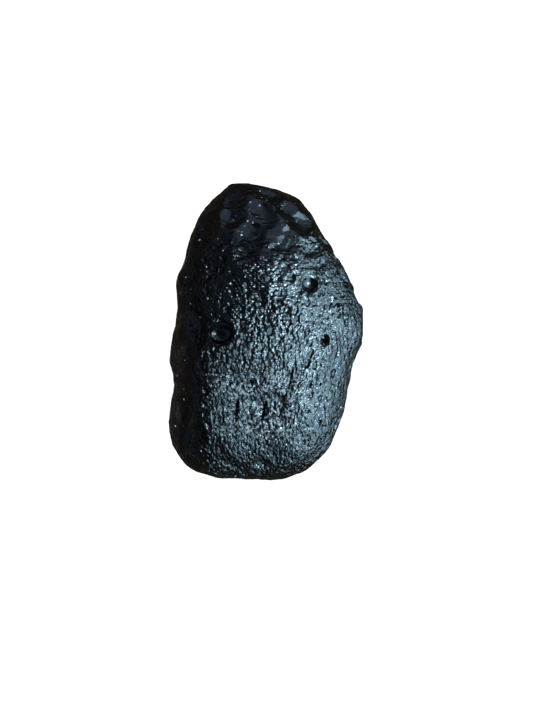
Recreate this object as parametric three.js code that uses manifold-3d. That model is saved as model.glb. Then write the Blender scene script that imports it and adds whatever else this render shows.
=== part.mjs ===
// A tektite: one lump of black natural glass, lying on its flattest side.
// Millimetres, +Z up. The origin is on the surface under the lump, at the middle of its outline.
// +Y points to the narrow end, +X to the side with the shoulder.

import * as THREE from "three";
import { mergeVertices } from "three/addons/utils/BufferGeometryUtils.js";
import Module from "manifold-3d";

// Driving dimensions of the finished lump.
const LENGTH = 48;
const WIDTH = 31.6;
const THICKNESS = 24.5;

// The widest line runs round the lump at this height.
const WAIST = 0.45 * THICKNESS;
// The highest and lowest points lie off the middle, so each side has its own slope.
const CROWN = { x: -3.2, y: -3.5, rise: THICKNESS - WAIST };
const SOLE = { x: -0.6, y: -2.2, rise: WAIST };
// The flat patch on the sole is where this much of it has been worn away.
const WORN = 0.3;

// Reach of the outline from the origin at every 15 degrees, anticlockwise from +X, before the scoops.
const REACH = [
  15.8, 16.1, 16.1, 17.5, 18.9, 22.6, 24.7, 25.4, 22.2, 18.8, 17.0, 15.2,
  15.4, 15.9, 17.5, 22.4, 25.1, 24.6, 23.9, 23.5, 20.9, 17.7, 15.4, 15.2,
];

// Fullness of a cross-section, by side: 2 is round, less is nearer a flat slope, more is boxy.
const FULLNESS = { right: 1.75, left: 2.35, ends: 2.4, under: 2.2 };

// Broad swells and hollows of the crown: place from above, reach and height.
const SWELLS = [
  { x: -1.5, y: -11.8, reach: 5.2, height: -1.3 },
  { x: -11.5, y: 3.0, reach: 4.5, height: -0.7 },
  { x: 9.0, y: 4.0, reach: 6.0, height: 0.7 },
  { x: -7.5, y: -17.0, reach: 5.0, height: 0.5 },
  { x: 3.5, y: 18.0, reach: 5.0, height: -0.6 },
  { x: 1.5, y: 11.5, reach: 5.0, height: 0.9 },
  { x: -4.5, y: 9.0, reach: 5.0, height: 0.4 },
];

// Slow waves over the whole surface keep it from being a smooth egg. Each wave is one ripple times
// another, and a ripple has the way it runs, with longer for finer, and its start.
const WAVE_HEIGHT = 0.22;
const WAVE_LENGTH = 8.5;
const WAVES = [
  [
    { runs: new THREE.Vector3(1, 0.4, 0), start: 1.3 },
    { runs: new THREE.Vector3(0, 0.8, -0.24), start: 0 },
  ],
  [
    { runs: new THREE.Vector3(0, 0.6, 0.6), start: 0.5 },
    { runs: new THREE.Vector3(-0.7, 0, 0.7), start: 2.1 },
  ],
];

// Dishes, as they look from above: middle of the rim, half-widths across and along, depth, and how
// far the long way leans from +Y towards +X, in degrees.
const CROWN_SCOOPS = [
  // the scalloped narrow end, left of its ridge
  { x: -5.4, y: 21.9, across: 2.0, along: 1.8, depth: 0.6 },
  { x: -5.7, y: 18.8, across: 2.35, along: 1.8, depth: 0.6 },
  { x: -2.4, y: 16.5, across: 2.4, along: 1.95, depth: 0.65 },
  { x: -3.1, y: 13.7, across: 2.3, along: 1.8, depth: 0.55 },
  { x: -0.4, y: 19.7, across: 1.95, along: 3.0, depth: 0.6, lean: -33 },
  { x: -9.7, y: 16.8, across: 1.9, along: 3.2, depth: 0.6, lean: 24 },
  { x: -8.5, y: 11.6, across: 1.8, along: 2.5, depth: 0.5, lean: 18 },
  // the narrow end, right of its ridge
  { x: 0.9, y: 22.7, across: 1.2, along: 2.5, depth: 0.5, lean: 112 },
  { x: 2.9, y: 20.7, across: 1.4, along: 2.1, depth: 0.5, lean: 122 },
  { x: 5.0, y: 18.2, across: 1.8, along: 2.6, depth: 0.75, lean: 130 },
  { x: 3.9, y: 16.4, across: 0.9, along: 1.6, depth: 0.35, lean: 112 },
  { x: 2.8, y: 14.4, across: 1.6, along: 2.4, depth: 0.5, lean: 98 },
  { x: 7.1, y: 13.9, across: 1.95, along: 2.0, depth: 0.65, lean: 20 },
  { x: 7.9, y: 11.3, across: 1.0, along: 2.1, depth: 0.45, lean: 72 },
  // long smooth hollows down the left side
  { x: -12.0, y: 9.4, across: 1.6, along: 3.4, depth: 0.55, lean: 14 },
  { x: -11.2, y: 2.6, across: 1.9, along: 4.4, depth: 0.7, lean: -12 },
  { x: -12.9, y: -3.4, across: 1.2, along: 2.4, depth: 0.45, lean: -4 },
  { x: -11.2, y: -16.2, across: 2.3, along: 1.8, depth: 0.55, lean: 15 },
  { x: -13.6, y: -13.0, across: 1.1, along: 4.2, depth: 0.5, lean: 3 },
  // the foot of the broad end
  { x: -0.9, y: -20.9, across: 0.85, along: 1.7, depth: 0.55, lean: 90 },
  { x: -5.2, y: -21.2, across: 0.7, along: 1.4, depth: 0.4, lean: 95 },
];

// The two large burst bubbles are bowls.
const BOWLS = [
  { x: -7.1, y: -0.1, across: 2.0, along: 1.7, depth: 1.15 },
  { x: 6.7, y: 7.9, across: 1.35, along: 1.45, depth: 0.95 },
];

// Small burst bubbles, which are deeper for their width.
const BUBBLES = [
  { x: 9.2, y: -1.1, across: 0.7, along: 0.75, depth: 0.7 },
  { x: 11.3, y: 4.1, across: 0.45, along: 0.6, depth: 0.4 },
  { x: -2.2, y: -7.8, across: 0.6, along: 0.7, depth: 0.5 },
  { x: -9.7, y: -9.1, across: 0.8, along: 0.9, depth: 0.5 },
];

// Narrow cracks in the hollow of the crown.
const CRACKS = [
  { x: -4.6, y: -12.5, across: 0.3, along: 2.2, depth: 0.6, lean: 4 },
  { x: -0.3, y: -11.9, across: 0.42, along: 2.4, depth: 0.75, lean: 13 },
  { x: 3.7, y: -8.2, across: 0.32, along: 2.6, depth: 0.6, lean: 11 },
  { x: 2.4, y: -12.7, across: 0.36, along: 2.0, depth: 0.6, lean: 16 },
];

// Scoops that notch the outline: bearing from +X and lift above the waist, in degrees.
const RIM_SCOOPS = [
  { bearing: 58, lift: 14, across: 1.7, along: 1.9, depth: 0.45 },
  { bearing: 49.5, lift: 10, across: 1.5, along: 1.6, depth: 0.45 },
  { bearing: 38, lift: 16, across: 1.6, along: 2.1, depth: 0.5 },
  { bearing: 23, lift: 4, across: 1.5, along: 1.9, depth: 0.75 },
  { bearing: 168, lift: 0, across: 2.6, along: 2.6, depth: 0.45 },
  { bearing: 190, lift: -2, across: 2.4, along: 2.0, depth: 0.6 },
  { bearing: 207, lift: 0, across: 2.6, along: 1.9, depth: 0.45 },
  { bearing: 345, lift: -6, across: 3.0, along: 3.6, depth: 0.7 },
  // below the waist, at the narrow end and the broad end
  { bearing: 97, lift: -10, across: 2.3, along: 2.9, depth: 0.55 },
  { bearing: 79, lift: -13, across: 1.9, along: 2.3, depth: 0.5 },
  { bearing: 116, lift: -13, across: 2.0, along: 2.4, depth: 0.5 },
  { bearing: 260, lift: -9, across: 2.2, along: 3.2, depth: 0.5 },
];

// The flanks and underside are scalloped all over, by scoops on a spiral from the waist to the sole.
// Their sizes, stretches and leans follow a fixed sequence with these steps.
const SIZE_STEP = 0.618;
const STRETCH_STEP = 0.382;
const LEAN_STEP = 47;
const UNDER_SCOOPS = {
  count: 26,
  highest: -0.02, // level of the first and last scoop: 0 is the waist and -1 the lowest point
  lowest: -0.9,
  least: 2.1, // half-widths
  most: 4.4,
  stretch: 0.9, // how much longer than wide a scoop can be, as a share
  depthShare: 0.2, // depth as a share of the half-width
};

// Share of a cutter's half-height that stays above the rim, for a shallow dish, a bowl and a deep pit.
const DISH_OPENNESS = 0.6;
const BOWL_OPENNESS = 0.3;
const PIT_OPENNESS = 0.15;

const BODY_DETAIL = 10; // divisions of each edge of the icosahedron that the lump is made from
const DISH_DETAIL = 2; // the same for each dish
const PIT_DETAIL = 1; // the same for each small pit and crack
const STEEPEST = 0.5; // least upward share of the facing that a scoop seen from above is fitted to
const SMALL_PIT = 0.7; // a half-width under which a scoop gets the coarser cutter
const RIM_SINK = 0.8; // share of the lump's own roundness by which a scoop is sunk, to keep its rim
const GOLDEN_ANGLE = Math.PI * (3 - Math.sqrt(5));
const UP = new THREE.Vector3(0, 0, 1);
const FAR = 100; // a height or distance that is well clear of the lump

const wasm = await Module();
wasm.setup();

// The outline's reach at an angle, with a smooth curve through the values in REACH.
function reachAt(angle) {
  const step = (2 * Math.PI) / REACH.length;
  const place = THREE.MathUtils.euclideanModulo(angle, 2 * Math.PI) / step;
  const i = Math.floor(place);
  const t = place - i;
  const [a, b, c, d] = [-1, 0, 1, 2].map((k) => REACH[(i + k + REACH.length) % REACH.length]);
  return b + 0.5 * t * (c - a + t * (2 * a - 5 * b + 4 * c - d + t * (3 * (b - c) + d - a)));
}

// How full the cross-section is in the direction of an angle.
function fullnessAt(angle, above) {
  if (!above) return FULLNESS.under;
  const side = Math.cos(angle);
  const flank = side > 0 ? FULLNESS.right : FULLNESS.left;
  return THREE.MathUtils.lerp(FULLNESS.ends, flank, side * side);
}

// The height of the slow waves at a point.
function waveAt(p) {
  const fineness = (2 * Math.PI) / WAVE_LENGTH;
  const ripple = ({ runs, start }) => Math.sin(fineness * runs.dot(p) + start);
  return WAVE_HEIGHT * WAVES.reduce((sum, [first, second]) => sum + ripple(first) * ripple(second), 0);
}

// The point of the lump in a direction from its heart, before the scoops.
function lumpPoint(direction) {
  const above = direction.z >= 0;
  const pole = above ? CROWN : SOLE;
  const angle = Math.atan2(direction.y, direction.x);
  const power = 2 / fullnessAt(angle, above);
  const out = Math.pow(Math.hypot(direction.x, direction.y), power);
  const rise = pole.rise * Math.pow(Math.abs(direction.z), power);
  const reach = reachAt(angle);
  const point = new THREE.Vector3(
    pole.x * (1 - out) + reach * out * Math.cos(angle),
    pole.y * (1 - out) + reach * out * Math.sin(angle),
    WAIST + (above ? rise : -rise),
  );
  let swell = waveAt(point);
  if (above)
    for (const s of SWELLS) {
      const away = Math.hypot(point.x - s.x, point.y - s.y) / s.reach;
      swell += s.height * Math.exp(-away * away) * direction.z;
    }
  return point.addScaledVector(direction, swell);
}

// The whole lump before the scoops, as a closed geometry.
function lumpGeometry() {
  const geometry = new THREE.IcosahedronGeometry(1, BODY_DETAIL);
  geometry.deleteAttribute("normal");
  geometry.deleteAttribute("uv");
  const merged = mergeVertices(geometry);
  const positions = merged.getAttribute("position");
  const direction = new THREE.Vector3();
  for (let i = 0; i < positions.count; i++) {
    direction.fromBufferAttribute(positions, i).normalize();
    positions.setXYZ(i, ...lumpPoint(direction));
  }
  merged.computeVertexNormals();
  return merged;
}

// A closed geometry as a solid that can be cut.
function solidOf(geometry) {
  const bare = geometry.clone();
  bare.deleteAttribute("normal");
  bare.deleteAttribute("uv");
  const merged = mergeVertices(bare);
  return new wasm.Manifold(
    new wasm.Mesh({
      numProp: 3,
      vertProperties: new Float32Array(merged.getAttribute("position").array),
      triVerts: new Uint32Array(merged.index.array),
    }),
  );
}

// A solid's surface as a geometry.
function geometryOf(solid) {
  const { numProp, vertProperties, triVerts } = solid.getMesh();
  const positions = new Float32Array((vertProperties.length / numProp) * 3);
  for (let i = 0; i < positions.length / 3; i++)
    positions.set(vertProperties.subarray(i * numProp, i * numProp + 3), i * 3);
  return new THREE.BufferGeometry()
    .setAttribute("position", new THREE.BufferAttribute(positions, 3))
    .setIndex(new THREE.BufferAttribute(triVerts, 1));
}

// Where a ray first meets the lump, and the way the surface faces there.
function surfaceAt(lump, from, towards) {
  const [hit] = new THREE.Raycaster(from, towards.clone().normalize()).intersectObject(lump);
  if (!hit) throw new Error("a scoop misses the lump at " + from.toArray().join(", "));
  return { point: hit.point, normal: hit.face.normal.clone() };
}

// How far the lump's own roundness drops, on average, from a scoop's middle to its rim.
function dropAtRim(lump, { point, normal }, across, along) {
  const reaches = [across, along, across.clone().negate(), along.clone().negate()];
  const drops = reaches.map((reach) => {
    const from = point.clone().add(reach).addScaledVector(normal, FAR);
    return point.clone().sub(surfaceAt(lump, from, normal.clone().negate()).point).dot(normal);
  });
  return drops.reduce((sum, drop) => sum + drop, 0) / drops.length;
}

// The cutter for one scoop: part of an egg whose cap has the scoop's rim and depth.
function scoopCutter(lump, place, across, along, depth, openness) {
  const { point, normal } = place;
  const rim = Math.sqrt(1 - openness * openness);
  const height = depth / (1 - openness);
  const rise = openness * height - RIM_SINK * dropAtRim(lump, place, across, along);
  const placed = new THREE.Matrix4()
    .makeBasis(across, along, normal)
    .scale(new THREE.Vector3(1 / rim, 1 / rim, height))
    .setPosition(point.clone().addScaledVector(normal, rise));
  const detail = across.length() < SMALL_PIT ? PIT_DETAIL : DISH_DETAIL;
  return solidOf(new THREE.IcosahedronGeometry(1, detail).applyMatrix4(placed));
}

// The way from a scoop's middle towards +Y after its lean, seen from above.
function leanOf(scoop) {
  const lean = THREE.MathUtils.degToRad(scoop.lean ?? 0);
  return new THREE.Vector3(Math.sin(lean), Math.cos(lean), 0);
}

// Cutters for scoops that are placed and measured from above.
function cuttersFromAbove(lump, scoops, openness) {
  return scoops.map((scoop) => {
    const from = new THREE.Vector3(scoop.x, scoop.y, FAR);
    const place = surfaceAt(lump, from, UP.clone().negate());
    const along = leanOf(scoop).multiplyScalar(scoop.along);
    const across = new THREE.Vector3().crossVectors(leanOf(scoop), UP).multiplyScalar(scoop.across);
    for (const half of [across, along])
      half.z = -half.dot(place.normal) / Math.max(place.normal.z, STEEPEST);
    return scoopCutter(lump, place, across, along, scoop.depth, openness);
  });
}

// A cutter for a scoop whose middle is where a ray from outside, in a direction, meets the lump.
function cutterFromOutside(lump, scoop, from, towards) {
  const place = surfaceAt(lump, from, towards);
  const across = new THREE.Vector3().crossVectors(leanOf(scoop), place.normal).normalize();
  const along = new THREE.Vector3().crossVectors(place.normal, across).multiplyScalar(scoop.along);
  across.multiplyScalar(scoop.across);
  return scoopCutter(lump, place, across, along, scoop.depth, DISH_OPENNESS);
}

// Cutters for scoops that are placed by the direction they are seen from, about the waist.
function cuttersFromAround(lump, scoops) {
  const heart = new THREE.Vector3(0, 0, WAIST);
  return scoops.map((scoop) => {
    const bearing = THREE.MathUtils.degToRad(scoop.bearing);
    const lift = THREE.MathUtils.degToRad(scoop.lift);
    const out = new THREE.Vector3(
      Math.cos(lift) * Math.cos(bearing),
      Math.cos(lift) * Math.sin(bearing),
      Math.sin(lift),
    );
    const from = heart.clone().addScaledVector(out, FAR);
    return cutterFromOutside(lump, scoop, from, out.negate());
  });
}

// Cutters for the flanks and underside, spread evenly over them by the golden angle.
function cuttersFromBelow(lump) {
  const { count, highest, lowest, least, most, stretch, depthShare } = UNDER_SCOOPS;
  return Array.from({ length: count }, (_, i) => {
    const level = THREE.MathUtils.lerp(highest, lowest, (i + 0.5) / count);
    const direction = new THREE.Vector3(Math.sqrt(1 - level * level), 0, level);
    direction.applyAxisAngle(UP, i * GOLDEN_ANGLE);
    const from = lumpPoint(direction).addScaledVector(direction, FAR);
    const size = THREE.MathUtils.lerp(least, most, (i * SIZE_STEP) % 1);
    const scoop = {
      across: size,
      along: size * (1 + stretch * ((i * STRETCH_STEP) % 1)),
      depth: size * depthShare,
      lean: (i * LEAN_STEP) % 180,
    };
    return cutterFromOutside(lump, scoop, from, direction.negate());
  });
}

// The lump with every scoop cut and the sole worn flat.
function carveTektite() {
  const lump = new THREE.Mesh(lumpGeometry());
  const cutters = [
    ...cuttersFromAbove(lump, CROWN_SCOOPS, DISH_OPENNESS),
    ...cuttersFromAround(lump, RIM_SCOOPS),
    ...cuttersFromBelow(lump),
    ...cuttersFromAbove(lump, BOWLS, BOWL_OPENNESS),
    ...cuttersFromAbove(lump, BUBBLES, PIT_OPENNESS),
    ...cuttersFromAbove(lump, CRACKS, PIT_OPENNESS),
  ];
  let solid = cutters.reduce((left, cutter) => left.subtract(cutter), solidOf(lump.geometry));
  const table = new THREE.BoxGeometry(FAR, FAR, FAR).translate(0, 0, WORN - FAR / 2);
  solid = solid.subtract(solidOf(table));
  return fitToSize(geometryOf(solid));
}

// The geometry stretched to the driving dimensions, standing on the origin.
function fitToSize(geometry) {
  geometry.computeBoundingBox();
  const box = geometry.boundingBox;
  const size = box.getSize(new THREE.Vector3());
  const middle = box.getCenter(new THREE.Vector3());
  geometry.translate(-middle.x, -middle.y, -box.min.z);
  geometry.scale(WIDTH / size.x, LENGTH / size.y, THICKNESS / size.z);
  geometry.computeVertexNormals();
  return geometry;
}

const blackGlass = new THREE.MeshStandardMaterial({ color: 0x15181b, roughness: 0.35, metalness: 0 });
const tektite = new THREE.Mesh(carveTektite(), blackGlass);
tektite.name = "tektite";

const part = new THREE.Group();
part.add(tektite);

export default part;
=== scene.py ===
# A tektite: a lump of black natural glass with a dished narrow end and a finely pebbled skin.
# Metres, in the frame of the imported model: +Y to the narrow end, +X to the shoulder, +Z up.

import math

import bpy
from mathutils import Matrix, Vector


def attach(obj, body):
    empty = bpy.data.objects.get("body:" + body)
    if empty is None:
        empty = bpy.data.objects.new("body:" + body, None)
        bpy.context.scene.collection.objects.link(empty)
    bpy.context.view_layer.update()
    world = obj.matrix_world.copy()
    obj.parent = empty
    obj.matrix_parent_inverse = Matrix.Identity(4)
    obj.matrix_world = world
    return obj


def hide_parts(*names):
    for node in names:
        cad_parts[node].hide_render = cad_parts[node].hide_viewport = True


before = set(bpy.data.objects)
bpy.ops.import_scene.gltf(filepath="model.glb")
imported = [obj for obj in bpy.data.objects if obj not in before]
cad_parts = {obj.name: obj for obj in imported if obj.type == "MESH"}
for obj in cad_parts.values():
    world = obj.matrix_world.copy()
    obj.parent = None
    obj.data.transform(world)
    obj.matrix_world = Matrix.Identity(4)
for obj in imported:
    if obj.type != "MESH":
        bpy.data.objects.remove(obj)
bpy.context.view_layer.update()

MM = 0.001

# The skin's mesh: the gap that is welded, the cell size, how often the skin and its smoother copy are
# smoothed, and how far each smoothing goes.
WELD = 0.001 * MM
VOXEL = 0.262 * MM
ROUNDING_STEPS = 3
RELAXING_STEPS = 60
STEP_SHARE = 0.5

# Relief in the mesh: size and height of the broad swells and of the small cells, and the share that is
# lost in a hollow.
SWELL_SIZE = 2.4 * MM
SWELL_HEIGHT = 0.35 * MM
CELL_SIZE = 0.85 * MM
CELL_HEIGHT = -0.10 * MM
LOST_IN_HOLLOW = 0.75

# How far under, or over, its smoother self the skin starts to be a hollow or a ridge, and is wholly one.
HOLLOW_FROM = (0.06 * MM, 0.32 * MM)
RIDGE_FROM = (0.24 * MM, 0.50 * MM)

# Burst bubbles: middle as seen from above, then half-widths across, along and into the glass, in mm.
BUBBLES = [
    (9.2, -1.1, 0.66, 0.70, 0.80),
    (10.9, 10.5, 0.38, 0.42, 0.50),
    (11.3, 4.1, 0.38, 0.48, 0.50),
    (8.4, -14.3, 0.36, 0.44, 0.45),
    (-2.2, -7.8, 0.45, 0.50, 0.30),
    (0.3, 1.6, 0.36, 0.44, 0.30),
    (6.6, -12.5, 0.26, 0.30, 0.35),
    (8.5, -5.4, 0.22, 0.24, 0.30),
    (8.5, -8.3, 0.22, 0.24, 0.30),
]

# Cracks in the hollow: middle, half-width, half-length and depth in mm, and lean from +Y to +X in degrees.
CRACKS = [
    (-4.6, -12.5, 0.26, 2.0, 0.7, 4),
    (-0.3, -12.2, 0.24, 1.9, 0.8, 13),
    (3.9, -7.3, 0.22, 2.0, 0.7, 11),
    (2.9, -10.6, 0.26, 1.5, 0.8, 14),
    (2.2, -13.0, 0.28, 1.4, 0.8, 16),
    (-6.7, -13.8, 0.22, 0.9, 0.5, 3),
]

# A pit's ball is dropped from this height onto the skin.
DROP_HEIGHT = 100 * MM
BALL_SUBDIVISIONS = 3

# The two large bowls, which are smooth inside: middle as seen from above, and half-widths across and along,
# in mm. The edge is where the smoothness starts to fade and is gone, as a share of the half-width.
BOWLS = [
    (-7.1, -0.1, 2.0, 1.7),
    (6.7, 7.9, 1.35, 1.45),
]
BOWL_EDGE = (0.85, 1.1)

# The grain fans out along the stone. Its lean goes evenly from the third value to the fourth between the
# first two places in x, in mm, and stops growing this far from the middle in y.
GRAIN_LEAN = (-9.0, 6.0, 0.4, -0.26)
GRAIN_REACH = 12.0
GRAIN_STRETCH = 0.95

# Fades: where one starts and ends, and its value before and after. Those named for a side of the stone are
# in mm towards that side, and their bounds wander by the stray. SPECKLED and GLOSS are of a cloudy pattern.
STRAY = (0.3, 0.7, -1.6, 1.6)
SMOOTH_NARROW_END = (12.6, 14.6, 0.0, 0.85)
SMOOTH_LEFT = (9.6, 11.4, 0.0, 0.7)
SMOOTH_BELOW = (-8.5, -5.5, 0.0, 0.5)
RUGGED_LEFT = (-2.0, 6.0, 1.0, 2.1)
# The brown at the left edge is a painted reflection of a brown surface beside the stone.
REFLECTED_BROWN_LEFT = (12.0, 15.5, 0.0, 0.6)
SPECKLED = (0.3, 0.7, 0.0, 1.0)
GLOSS = (0.3, 0.7, 0.12, 0.20)
SMOOTHED_SHARE = 0.94
BROWN_DULLS = 0.25

# Cloudy patterns: how many clouds per mm, detail and roughness.
STRAY_CLOUDS = (0.35, 2.0, 0.5)
RIPPLE_CLOUDS = (1.1, 2.0, 0.5)
SPECKLE_CLOUDS = (0.9, 5.0, 0.65)
GRAIN_SHEEN_CLOUDS = (1.9, 2.0, 0.6)

# Relief in the material. Pebbles: how many per mm. Spots: cells per mm, widest radius as a share of a
# cell, and share of the cells with a spot. Then the heights of all in mm.
COARSE_PER_MM = 1.35
FINE_PER_MM = 2.6
BLISTER_SPOTS = (0.9, 0.45, 0.6)
HOLE_SPOTS = (0.85, 0.5, 0.8)
GRIT_SPOTS = (1.7, 0.42, 0.5)
COARSE_HEIGHT = 0.20
FINE_HEIGHT = 0.10
RIPPLE_HEIGHT = 0.14
BLISTER_HEIGHT = 0.17
HOLE_DEPTH = 0.34
GRIT_HEIGHT = 0.12
GRIT_LOST_IN_HOLLOW = 0.65
HOLE_STRETCH = (1.0, 0.75, 1.0)
SPOT_SHIFT = (7.3, 2.1, 4.4)
FURROW_SOFTNESS = 0.12
SMALLEST_SPOT = 0.45

# Pale grains lodged in the hollow of the crown, partly a painted sheen in the window's blue: its middle in
# mm, and fades along, across and up from it.
GRAIN_SHEEN_MIDDLE = (-1.0, -11.8)
GRAIN_SHEEN_ALONG = (3.0, 6.0, 1.0, 0.0)
GRAIN_SHEEN_ACROSS = (4.5, 7.5, 1.0, 0.0)
GRAIN_SHEEN_UP = (12.0, 16.0, 0.0, 1.0)
GRAIN_SHEEN_DENSITY = (0.54, 0.61, 0.0, 1.0)

# Lone pale specks, partly dust and partly painted glints: cells per mm, widest radius, share of the cells
# with a speck, and sharpness of its edge.
SPECK_AND_GLINT_SPOTS = (0.75, 0.15, 0.45)
SPECK_AND_GLINT_SHARPNESS = 2.0

# Colours and optics of the stone.
GLASS_BLACK = (0.0007, 0.0008, 0.0010, 1.0)
# Brown: dust on the narrow end's rims, and at the left edge a painted reflection of a brown surface.
BROWN_DUST_AND_REFLECTION = (0.018, 0.0165, 0.0145, 1.0)
# Pale blue of grains that are partly a painted sheen, in the colour of the window's reflection.
GRAIN_AND_SHEEN_PALE = (0.13, 0.19, 0.225, 1.0)
# Pale specks, partly dust and partly painted glints.
SPECK_AND_GLINT_PALE = (0.11, 0.155, 0.18, 1.0)
GLASS_IOR = 1.5

# Lights: middle, width and height in metres, radiance and colour. All face the stone's middle.
WINDOW_BLUE = (0.48, 0.79, 1.0)
PANE_BLUE = (0.60, 0.86, 1.0)
WINDOWS = [
    ("window_low", (0.42, -0.10, 0.02), (0.80, 0.50), 5.3, WINDOW_BLUE),
    ("window_high", (0.35, -0.05, 0.28), (0.56, 0.24), 4.6, WINDOW_BLUE),
    ("window_top", (0.22, -0.02, 0.39), (0.40, 0.16), 0.5, WINDOW_BLUE),
    ("bright_pane", (0.345, -0.05, 0.285), (0.12, 0.13), 78.0, PANE_BLUE),
    ("upper_pane", (0.23, -0.05, 0.38), (0.08, 0.07), 24.0, PANE_BLUE),
]
CEILING = ("ceiling", (0.0, 0.0, 0.9), (1.6, 1.6), 4.2, (1.0, 1.0, 1.0))
STONE_MIDDLE = Vector((0.0, 0.0, 0.01))

# The room that the stone mirrors: its tones from below to above, and where one passes into the next, by the
# upward share of the direction. Then a soft glow: its direction, and where it starts and is full.
ROOM_BELOW = (0.045, 0.038, 0.027, 1.0)
ROOM_LEVEL = (0.13, 0.19, 0.28, 1.0)
ROOM_ABOVE = (0.008, 0.014, 0.025, 1.0)
ROOM_GLOW = (0.50, 0.64, 0.88, 1.0)
BELOW_TO_LEVEL = (-0.2, 0.3)
LEVEL_TO_ABOVE = (0.4, 0.85)
GLOW_DIRECTION = (0.56, 0.66, 0.50)
GLOW_FROM = (0.64, 0.96)
PAPER_WHITE = (1.0, 1.0, 1.0, 1.0)

# The floor.
FLOOR_SIZE = 1.4
FLOOR_PALE = (0.95, 0.95, 0.95, 1.0)
FLOOR_ROUGHNESS = 0.9

# Camera: the photograph's size and scale, the row of its pixels that the stone's middle is on, and how far
# up the stone its outline lies.
PICTURE = (533, 711)
MM_PER_PIXEL = 0.1622
STONE_ROW = 332.0
WAIST_HEIGHT = 11.0 * MM
LENS = 85.0
SENSOR = 36.0
NEAREST = 0.01
FARTHEST = 10.0


# Leaves one object selected and active.
def pick(obj):
    bpy.ops.object.select_all(action="DESELECT")
    obj.select_set(True)
    bpy.context.view_layer.objects.active = obj


# Adds a modifier with its settings and applies it.
def finish_with(obj, kind, **settings):
    pick(obj)
    modifier = obj.modifiers.new(kind.lower(), kind)
    for name, value in settings.items():
        setattr(modifier, name, value)
    bpy.ops.object.modifier_apply(modifier=modifier.name)


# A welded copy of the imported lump.
def copy_of_lump():
    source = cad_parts["tektite"]
    lump = bpy.data.objects.new("tektite_skin", source.data.copy())
    bpy.context.collection.objects.link(lump)
    lump.data.materials.clear()
    pick(lump)
    bpy.ops.object.mode_set(mode="EDIT")
    bpy.ops.mesh.select_all(action="SELECT")
    bpy.ops.mesh.remove_doubles(threshold=WELD)
    bpy.ops.object.mode_set(mode="OBJECT")
    return lump


# A ball squashed to three half-widths, with its middle on the skin below a point seen from above.
def sunk_ball(skin, x, y, halves, lean=0.0):
    up = Vector((0, 0, 1))
    hit, place, facing, _ = skin.ray_cast(Vector((x * MM, y * MM, DROP_HEIGHT)), -up)
    if not hit:
        raise RuntimeError("a pit misses the skin")
    bpy.ops.object.select_all(action="DESELECT")
    bpy.ops.mesh.primitive_ico_sphere_add(subdivisions=BALL_SUBDIVISIONS, radius=1.0)
    ball = bpy.context.active_object
    tilt = up.rotation_difference(facing).to_matrix().to_4x4()
    spin = Matrix.Rotation(math.radians(-lean), 4, "Z")
    size = Matrix.Diagonal([half * MM for half in halves] + [1.0])
    ball.matrix_world = Matrix.Translation(place) @ tilt @ spin @ size
    bpy.ops.object.transform_apply(location=True, rotation=True, scale=True)
    return ball


# Splits each face with more than four corners into a fan about a new middle vertex.
def fan_out(skin):
    pick(skin)
    bpy.ops.object.mode_set(mode="EDIT")
    bpy.ops.mesh.select_mode(type="FACE")
    bpy.ops.mesh.select_all(action="DESELECT")
    bpy.ops.mesh.select_face_by_sides(number=4, type="GREATER")
    bpy.ops.mesh.poke(center_mode="MEDIAN_WEIGHTED")
    bpy.ops.object.mode_set(mode="OBJECT")


# Cuts the bubbles and cracks out of the skin.
def cut_pits(skin):
    balls = [sunk_ball(skin, x, y, (a, b, c)) for x, y, a, b, c in BUBBLES]
    balls += [sunk_ball(skin, x, y, (a, b, c), lean) for x, y, a, b, c, lean in CRACKS]
    bpy.ops.object.select_all(action="DESELECT")
    for ball in balls:
        ball.select_set(True)
    bpy.context.view_layer.objects.active = balls[0]
    bpy.ops.object.join()
    cutter = bpy.context.active_object
    finish_with(skin, "BOOLEAN", operation="DIFFERENCE", object=cutter, solver="MANIFOLD")
    bpy.data.objects.remove(cutter)
    fan_out(skin)


# A smooth step from 0 at low to 1 at high.
def smooth_step(value, low, high):
    share = min(max((value - low) / (high - low), 0.0), 1.0)
    return share * share * (3.0 - 2.0 * share)


# How far inside one of the large bowls a point of the skin is, from 0 to 1.
def inside_bowl(point):
    if point.z < WAIST_HEIGHT:
        return 0.0
    reaches = [math.hypot((point.x / MM - x) / a, (point.y / MM - y) / b) for x, y, a, b in BOWLS]
    return 1.0 - smooth_step(min(reaches), *BOWL_EDGE)


# Keeps two masks on the skin, from 0 to 1: "hollow" in the dishes and "ridge" on the rims between them.
# The skin is set against a much smoother copy of itself, which lies above a hollow and below a ridge.
def mark_relief(skin):
    relaxed = bpy.data.objects.new("relaxed", skin.data.copy())
    bpy.context.collection.objects.link(relaxed)
    finish_with(relaxed, "SMOOTH", factor=STEP_SHARE, iterations=RELAXING_STEPS)
    pairs = zip(skin.data.vertices, relaxed.data.vertices)
    sunk = [(calm.co - vertex.co).dot(vertex.normal) for vertex, calm in pairs]
    bpy.data.objects.remove(relaxed)
    bowl = [inside_bowl(vertex.co) for vertex in skin.data.vertices]
    hollow = [max(smooth_step(depth, *HOLLOW_FROM), inside) for depth, inside in zip(sunk, bowl)]
    ridge = [smooth_step(-depth, *RIDGE_FROM) for depth in sunk]
    skin.data.attributes.new("hollow", "FLOAT", "POINT").data.foreach_set("value", hollow)
    skin.data.attributes.new("ridge", "FLOAT", "POINT").data.foreach_set("value", ridge)
    pebbled = skin.vertex_groups.new(name="pebbled")
    for index, share in enumerate(hollow):
        pebbled.add([index], 1.0 - LOST_IN_HOLLOW * share, "REPLACE")


# Raises and lowers the skin by a cloudy or cellular pattern of a given size, less so in the hollows.
def lump_up(skin, name, kind, size, height, **settings):
    pattern = bpy.data.textures.new(name, kind)
    pattern.noise_scale = size
    for key, value in settings.items():
        setattr(pattern, key, value)
    finish_with(
        skin, "DISPLACE", texture=pattern, texture_coords="LOCAL",
        strength=height, mid_level=0.5, vertex_group="pebbled",
    )


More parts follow.
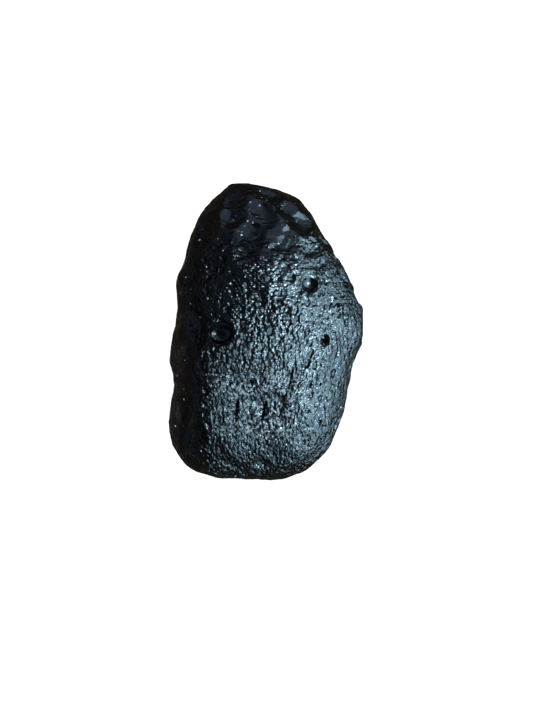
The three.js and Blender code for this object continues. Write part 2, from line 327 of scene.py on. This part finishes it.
# Flattens what the lumps pushed down through the table.
def level_sole(skin):
    pick(skin)
    bpy.ops.object.mode_set(mode="EDIT")
    bpy.ops.mesh.select_mode(type="VERT")
    bpy.ops.mesh.select_all(action="DESELECT")
    bpy.ops.object.mode_set(mode="OBJECT")
    for vertex in skin.data.vertices:
        vertex.select = vertex.co.z < 0
    bpy.ops.object.mode_set(mode="EDIT")
    bpy.ops.transform.resize(value=(1, 1, 0), center_override=(0, 0, 0))
    bpy.ops.object.mode_set(mode="OBJECT")


# Covers every face of the skin with one material.
def cover(skin, material):
    skin.data.materials.clear()
    skin.data.materials.append(material)
    for face in skin.data.polygons:
        face.material_index = 0


# Adds a node, with links or values for its inputs.
def add(tree, kind, inputs=None, **settings):
    made = tree.nodes.new(kind)
    for name, value in settings.items():
        setattr(made, name, value)
    for key, value in (inputs or {}).items():
        if isinstance(value, bpy.types.NodeSocket):
            tree.links.new(value, made.inputs[key])
        else:
            made.inputs[key].default_value = value
    return made


# The result of an operation on two values, or on more in turn.
def calc(tree, operation, first, *others):
    result = first
    for other in others:
        result = add(tree, "ShaderNodeMath", {0: result, 1: other}, operation=operation).outputs[0]
    return result


# A value without its sign.
def unsigned(tree, value):
    return add(tree, "ShaderNodeMath", {0: value}, operation="ABSOLUTE").outputs[0]


# A step of a value from start at low to end at high.
def rise(tree, value, low, high, start=0.0, end=1.0, shape="SMOOTHSTEP"):
    inputs = {"Value": value, "From Min": low, "From Max": high, "To Min": start, "To Max": end}
    return add(tree, "ShaderNodeMapRange", inputs, interpolation_type=shape).outputs[0]


# The colour between two, by a factor from 0 to 1.
def blend(tree, factor, first, second):
    inputs = {"Factor": factor, "A": first, "B": second}
    return add(tree, "ShaderNodeMix", inputs, data_type="RGBA").outputs["Result"]


# A cloudy pattern from 0 to 1.
def clouds(tree, place, per_millimetre, detail, roughness):
    inputs = {"Vector": place, "Scale": per_millimetre, "Detail": detail, "Roughness": roughness}
    return add(tree, "ShaderNodeTexNoise", inputs).outputs["Fac"]


# A new node group with named inputs and outputs: (tree, group inputs node).
def new_group(name, inputs, outputs):
    tree = bpy.data.node_groups.new(name, "ShaderNodeTree")
    for label, kind, value in inputs:
        socket = tree.interface.new_socket(label, in_out="INPUT", socket_type=kind)
        if value is not None:
            socket.default_value = value
    for label, kind in outputs:
        tree.interface.new_socket(label, in_out="OUTPUT", socket_type=kind)
    return tree, tree.nodes.new("NodeGroupInput")


# Close-packed rounded bumps, with sharp furrows between them.
def pebble_group():
    tree, given = new_group(
        "pebbles",
        [("Place", "NodeSocketVector", None), ("Per Millimetre", "NodeSocketFloat", 2.0)],
        [("Height", "NodeSocketFloat")],
    )
    place, per_millimetre = given.outputs["Place"], given.outputs["Per Millimetre"]
    inputs = {"Vector": place, "Scale": per_millimetre, "Smoothness": FURROW_SOFTNESS}
    cells = add(tree, "ShaderNodeTexVoronoi", inputs, feature="SMOOTH_F1")
    dome = calc(tree, "SUBTRACT", 1.0, calc(tree, "POWER", cells.outputs["Distance"], 2.0))
    add(tree, "NodeGroupOutput", {"Height": dome})
    return tree


# Scattered round spots of differing sizes: a cap over each, highest in its middle and 0 at its rim.
def spot_group():
    tree, given = new_group(
        "spots",
        [("Place", "NodeSocketVector", None), ("Per Millimetre", "NodeSocketFloat", 1.0),
         ("Widest", "NodeSocketFloat", 0.3), ("Share", "NodeSocketFloat", 0.5)],
        [("Cap", "NodeSocketFloat")],
    )
    inputs = {"Vector": given.outputs["Place"], "Scale": given.outputs["Per Millimetre"]}
    cells = add(tree, "ShaderNodeTexVoronoi", inputs, feature="F1")
    chance = add(tree, "ShaderNodeSeparateColor", {"Color": cells.outputs["Color"]})
    present = calc(tree, "LESS_THAN", chance.outputs["Red"], given.outputs["Share"])
    spread = rise(tree, chance.outputs["Green"], 0.0, 1.0, SMALLEST_SPOT, 1.0)
    radius = calc(tree, "MULTIPLY", given.outputs["Widest"], spread)
    near = calc(tree, "DIVIDE", cells.outputs["Distance"], radius)
    dome = calc(tree, "SUBTRACT", 1.0, calc(tree, "POWER", near, 2.0))
    cap = calc(tree, "MULTIPLY", calc(tree, "MAXIMUM", dome, 0.0), spread, present)
    add(tree, "NodeGroupOutput", {"Cap": cap})
    return tree


# The height of the pebbles at a place.
def pebble_height(tree, group, place, per_millimetre):
    inputs = {"Place": place, "Per Millimetre": per_millimetre}
    return add(tree, "ShaderNodeGroup", inputs, node_tree=group).outputs["Height"]


# The cap of the spots at a place.
def spot_cap(tree, group, place, per_millimetre, widest, share):
    inputs = {"Place": place, "Per Millimetre": per_millimetre, "Widest": widest, "Share": share}
    return add(tree, "ShaderNodeGroup", inputs, node_tree=group).outputs["Cap"]


# The place on the stone in millimetres, whole and as x, y and z.
def stone_place(tree):
    metres = add(tree, "ShaderNodeTexCoord").outputs["Object"]
    inputs = {"Vector": metres, "Scale": (1 / MM, 1 / MM, 1 / MM)}
    place = add(tree, "ShaderNodeMapping", inputs).outputs[0]
    parts = add(tree, "ShaderNodeSeparateXYZ", {"Vector": place})
    return place, parts.outputs["X"], parts.outputs["Y"], parts.outputs["Z"]


# The place along the grain, which leans one way on the left and the other way on the right.
def grain_place(tree, x, y, z):
    lean = rise(tree, x, *GRAIN_LEAN, shape="LINEAR")
    along = add(tree, "ShaderNodeClamp", {"Value": y, "Min": -GRAIN_REACH, "Max": GRAIN_REACH}).outputs[0]
    across = calc(tree, "ADD", x, calc(tree, "MULTIPLY", lean, along))
    inputs = {"X": across, "Y": calc(tree, "MULTIPLY", y, GRAIN_STRETCH), "Z": z}
    return add(tree, "ShaderNodeCombineXYZ", inputs).outputs[0]


# The relief in millimetres: pebbles, ripples, blisters and holes by the rough share, and grit all over.
def relief(tree, spots, grain, rough_share, hollow):
    pebbles = pebble_group()
    long_grain = add(tree, "ShaderNodeMapping", {"Vector": grain, "Scale": HOLE_STRETCH}).outputs[0]
    aside = add(tree, "ShaderNodeMapping", {"Vector": grain, "Location": SPOT_SHIFT}).outputs[0]
    layers = [
        (pebble_height(tree, pebbles, grain, COARSE_PER_MM), COARSE_HEIGHT),
        (pebble_height(tree, pebbles, grain, FINE_PER_MM), FINE_HEIGHT),
        (clouds(tree, grain, *RIPPLE_CLOUDS), RIPPLE_HEIGHT),
        (spot_cap(tree, spots, aside, *BLISTER_SPOTS), BLISTER_HEIGHT),
        (spot_cap(tree, spots, long_grain, *HOLE_SPOTS), -HOLE_DEPTH),
    ]
    height = calc(tree, "ADD", *[calc(tree, "MULTIPLY", layer, share) for layer, share in layers])
    bare = calc(tree, "SUBTRACT", 1.0, calc(tree, "MULTIPLY", hollow, GRIT_LOST_IN_HOLLOW))
    grit = calc(tree, "MULTIPLY", spot_cap(tree, spots, aside, *GRIT_SPOTS), bare, GRIT_HEIGHT)
    return calc(tree, "ADD", calc(tree, "MULTIPLY", height, rough_share), grit)


# How thickly pale grains, partly a painted sheen, lie in the hollow of the crown, from 0 to 1. They keep
# out of its cracks.
def grains_and_painted_sheen(tree, place, x, y, z, stray, hollow):
    middle_x, middle_y = GRAIN_SHEEN_MIDDLE
    sideways = unsigned(tree, calc(tree, "ADD", x, -middle_x, stray))
    lengthways = unsigned(tree, calc(tree, "ADD", y, -middle_y))
    return calc(
        tree, "MULTIPLY",
        rise(tree, lengthways, *GRAIN_SHEEN_ALONG),
        rise(tree, sideways, *GRAIN_SHEEN_ACROSS),
        rise(tree, z, *GRAIN_SHEEN_UP),
        calc(tree, "SUBTRACT", 1.0, hollow),
        rise(tree, clouds(tree, place, *GRAIN_SHEEN_CLOUDS), *GRAIN_SHEEN_DENSITY),
    )


# Black glass with its relief; brown dust on the narrow end's rims and a painted brown reflection at the
# left edge; pale grains and specks, partly painted sheen and glints.
def black_glass():
    material = bpy.data.materials.new("black_glass")
    material.use_nodes = True
    tree = material.node_tree
    shader = tree.nodes["Principled BSDF"]
    spots = spot_group()
    place, x, y, z = stone_place(tree)
    grain = grain_place(tree, x, y, z)
    hollow = add(tree, "ShaderNodeAttribute", attribute_name="hollow").outputs["Fac"]
    ridge = add(tree, "ShaderNodeAttribute", attribute_name="ridge").outputs["Fac"]

    # Where the skin is smooth: in dishes, and less so over the narrow end, down the left side and below.
    stray = rise(tree, clouds(tree, place, *STRAY_CLOUDS), *STRAY)
    leftwards = calc(tree, "SUBTRACT", stray, x)
    narrow_end = rise(tree, calc(tree, "ADD", y, stray), *SMOOTH_NARROW_END)
    left_side = rise(tree, leftwards, *SMOOTH_LEFT)
    below = rise(tree, calc(tree, "SUBTRACT", stray, z), *SMOOTH_BELOW)
    smooth = calc(tree, "MAXIMUM", narrow_end, left_side, hollow, below)
    rough = calc(tree, "SUBTRACT", 1.0, calc(tree, "MULTIPLY", smooth, SMOOTHED_SHARE))
    rough_share = calc(tree, "MULTIPLY", rough, rise(tree, leftwards, *RUGGED_LEFT))
    height = relief(tree, spots, grain, rough_share, hollow)
    bump = add(tree, "ShaderNodeBump", {"Height": height, "Strength": 1.0, "Distance": MM})

    # What lies on the glass, with painted light among it: a brown reflection at the left edge, blue sheen
    # in the grains and glints in the specks.
    speckle = clouds(tree, place, *SPECKLE_CLOUDS)
    # Painted reflection: brown at the left edge, as if a brown surface were mirrored there; on the rims it
    # is dust.
    edge = rise(tree, leftwards, *REFLECTED_BROWN_LEFT)
    rims = calc(tree, "MULTIPLY", ridge, narrow_end)
    dust_and_reflection = calc(tree, "MULTIPLY", calc(tree, "MAXIMUM", edge, rims), rise(tree, speckle, *SPECKLED))
    # Painted sheen: pale blue grains brighten the hollow of the crown as the window's reflection would.
    grains_and_sheen = grains_and_painted_sheen(tree, place, x, y, z, stray, hollow)
    # Painted glints: pale specks all over, partly dust and partly standing in for glints of light.
    caps = spot_cap(tree, spots, place, *SPECK_AND_GLINT_SPOTS)
    specks_and_glints = calc(tree, "MINIMUM", calc(tree, "MULTIPLY", caps, SPECK_AND_GLINT_SHARPNESS), 1.0)
    colour = blend(tree, dust_and_reflection, GLASS_BLACK, BROWN_DUST_AND_REFLECTION)
    colour = blend(tree, grains_and_sheen, colour, GRAIN_AND_SHEEN_PALE)
    colour = blend(tree, specks_and_glints, colour, SPECK_AND_GLINT_PALE)
    roughness = calc(tree, "ADD", rise(tree, speckle, *GLOSS), calc(tree, "MULTIPLY", dust_and_reflection, BROWN_DULLS))

    tree.links.new(colour, shader.inputs["Base Color"])
    tree.links.new(roughness, shader.inputs["Roughness"])
    tree.links.new(bump.outputs["Normal"], shader.inputs["Normal"])
    shader.inputs["IOR"].default_value = GLASS_IOR
    return material


# A soft rectangular light that faces the stone and that the camera doesn't see.
def soft_panel(name, place, size, radiance, colour):
    data = bpy.data.lights.new(name, "AREA")
    data.shape = "RECTANGLE"
    data.size, data.size_y = size
    data.energy = radiance * math.pi * size[0] * size[1]
    data.color = colour
    lamp = bpy.data.objects.new(name, data)
    bpy.context.collection.objects.link(lamp)
    lamp.location = place
    lamp.rotation_euler = (STONE_MIDDLE - Vector(place)).to_track_quat("-Z", "Y").to_euler()
    lamp.visible_camera = False
    return lamp


# The stone only mirrors the windows, and the ceiling only lights it.
def hang_lights():
    for window in WINDOWS:
        soft_panel(*window).visible_diffuse = False
    soft_panel(*CEILING).visible_glossy = False


# White paper for the camera, and for the stone a room whose tone goes with the direction, with a soft glow.
def light_the_room():
    world = bpy.data.worlds.new("room")
    bpy.context.scene.world = world
    world.use_nodes = True
    tree = world.node_tree
    tree.nodes.clear()
    seen = add(tree, "ShaderNodeLightPath").outputs["Is Camera Ray"]
    direction = add(tree, "ShaderNodeTexCoord").outputs["Generated"]
    upward = add(tree, "ShaderNodeSeparateXYZ", {"Vector": direction}).outputs["Z"]
    inputs = {0: direction, 1: GLOW_DIRECTION}
    towards = add(tree, "ShaderNodeVectorMath", inputs, operation="DOT_PRODUCT").outputs["Value"]
    tone = blend(tree, rise(tree, upward, *BELOW_TO_LEVEL), ROOM_BELOW, ROOM_LEVEL)
    tone = blend(tree, rise(tree, upward, *LEVEL_TO_ABOVE), tone, ROOM_ABOVE)
    tone = blend(tree, rise(tree, towards, *GLOW_FROM), tone, ROOM_GLOW)
    room = add(tree, "ShaderNodeBackground", {"Color": tone, "Strength": 1.0})
    paper = add(tree, "ShaderNodeBackground", {"Color": PAPER_WHITE, "Strength": 1.0})
    mix = add(tree, "ShaderNodeMixShader", {0: seen, 1: room.outputs[0], 2: paper.outputs[0]})
    add(tree, "ShaderNodeOutputWorld", {"Surface": mix.outputs[0]})


# A pale matt floor, which the stone doesn't mirror.
def lay_floor():
    bpy.ops.object.select_all(action="DESELECT")
    bpy.ops.mesh.primitive_plane_add(size=FLOOR_SIZE)
    floor = bpy.context.active_object
    floor.name = "floor"
    material = bpy.data.materials.new("pale_floor")
    material.use_nodes = True
    shader = material.node_tree.nodes["Principled BSDF"]
    shader.inputs["Base Color"].default_value = FLOOR_PALE
    shader.inputs["Roughness"].default_value = FLOOR_ROUGHNESS
    shader.inputs["Specular IOR Level"].default_value = 0.0
    floor.data.materials.append(material)
    floor.visible_glossy = False
    floor.visible_shadow = False


# The camera looks straight down, with the stone's outline at the photograph's scale.
def place_camera():
    data = bpy.data.cameras.new("camera")
    data.lens = LENS
    data.sensor_width = SENSOR
    data.clip_start = NEAREST
    data.clip_end = FARTHEST
    camera = bpy.data.objects.new("camera", data)
    bpy.context.collection.objects.link(camera)
    distance = PICTURE[1] * MM_PER_PIXEL * MM * LENS / SENSOR
    drop = (STONE_ROW - PICTURE[1] / 2) * MM_PER_PIXEL * MM
    camera.location = (0.0, drop, WAIST_HEIGHT + distance)
    bpy.context.scene.camera = camera


skin = copy_of_lump()
finish_with(skin, "REMESH", mode="VOXEL", voxel_size=VOXEL, use_smooth_shade=True)
finish_with(skin, "SMOOTH", factor=STEP_SHARE, iterations=ROUNDING_STEPS)
cut_pits(skin)
mark_relief(skin)
lump_up(skin, "swells", "CLOUDS", SWELL_SIZE, SWELL_HEIGHT, noise_depth=1)
lump_up(skin, "lumps", "VORONOI", CELL_SIZE, CELL_HEIGHT, distance_metric="DISTANCE_SQUARED")
level_sole(skin)
pick(skin)
bpy.ops.object.shade_smooth()
cover(skin, black_glass())
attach(skin, "root")
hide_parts("tektite")

lay_floor()
hang_lights()
light_the_room()
place_camera()
bpy.context.scene.view_settings.view_transform = "Standard"
bpy.context.scene.view_settings.look = "None"
